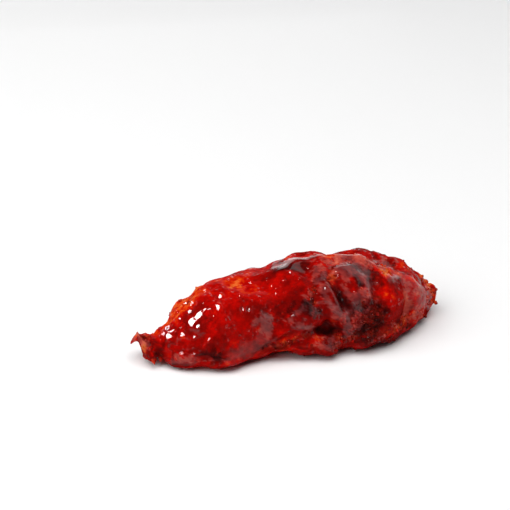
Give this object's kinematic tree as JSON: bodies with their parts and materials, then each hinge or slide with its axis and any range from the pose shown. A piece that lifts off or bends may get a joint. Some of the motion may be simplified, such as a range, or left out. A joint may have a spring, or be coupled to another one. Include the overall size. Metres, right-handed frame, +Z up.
{
  "type": "chicken tender",
  "caption": "One fried chicken tender in a sticky red glaze: a long plump strip with a torn tail, lobes, folds and a pit, lying on its flatter side.",
  "frame": {"origin": "centre of the footprint's bounding box, on the surface that the tender lies on", "axes": "+X along the tender from its torn tail to its blunt end, +Y away from the side with the deep folds, +Z up"},
  "size_m": [0.12, 0.0462, 0.0312],
  "materials": {
    "glazed_crust": "wet sticky red glaze over browned fried crust"
  },
  "bodies": {
    "root": {"tender": "glazed_crust"}
  },
  "joints": []
}
